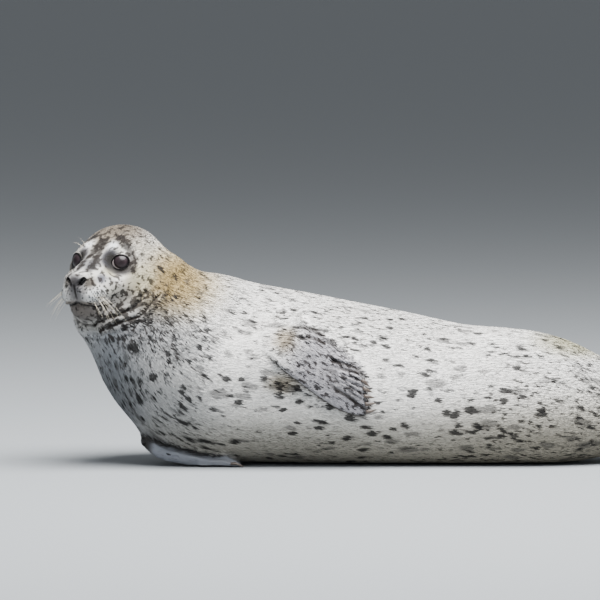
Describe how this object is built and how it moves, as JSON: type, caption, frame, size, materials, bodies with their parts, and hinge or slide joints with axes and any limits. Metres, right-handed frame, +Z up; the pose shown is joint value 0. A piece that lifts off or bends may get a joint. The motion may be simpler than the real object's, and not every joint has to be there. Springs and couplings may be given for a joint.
{
  "type": "harbor seal",
  "caption": "Life-size still model of a spotted harbor seal resting on its side with its head raised and turned outward.",
  "frame": {"origin": "on the ground under the middle of the animal's bounding box", "axes": "+X from the nose towards the hind flippers, +Z up, -Y the side that the belly and the face are turned to"},
  "size_m": [1.3769, 0.375, 0.4444],
  "materials": {
    "coat": "short dense fur, off-white with charcoal spots",
    "flipper": "grey skin under thin short fur",
    "eye": "wet, glossy, near black",
    "claw": "dark keratin, slightly glossy"
  },
  "bodies": {
    "root": {"belly": "coat", "chest": "coat", "eye_left": "eye", "eye_right": "eye", "fore_claw_left_1": "claw", "fore_claw_left_2": "claw", "fore_claw_left_3": "claw", "fore_claw_left_4": "claw", "fore_claw_left_5": "claw", "fore_claw_right_1": "claw", "fore_claw_right_2": "claw", "fore_claw_right_3": "claw", "fore_claw_right_4": "claw", "fore_claw_right_5": "claw", "fore_flipper_left": "flipper", "fore_flipper_right": "flipper", "head": "coat", "hind_claw_left_1": "claw", "hind_claw_left_2": "claw", "hind_claw_left_3": "claw", "hind_claw_left_4": "claw", "hind_claw_left_5": "claw", "hind_claw_right_1": "claw", "hind_claw_right_2": "claw", "hind_claw_right_3": "claw", "hind_claw_right_4": "claw", "hind_claw_right_5": "claw", "hind_flipper_left": "flipper", "hind_flipper_right": "flipper", "lower_jaw": "coat", "muzzle": "coat", "neck": "coat", "rump": "coat", "tail": "coat"}
  },
  "joints": []
}
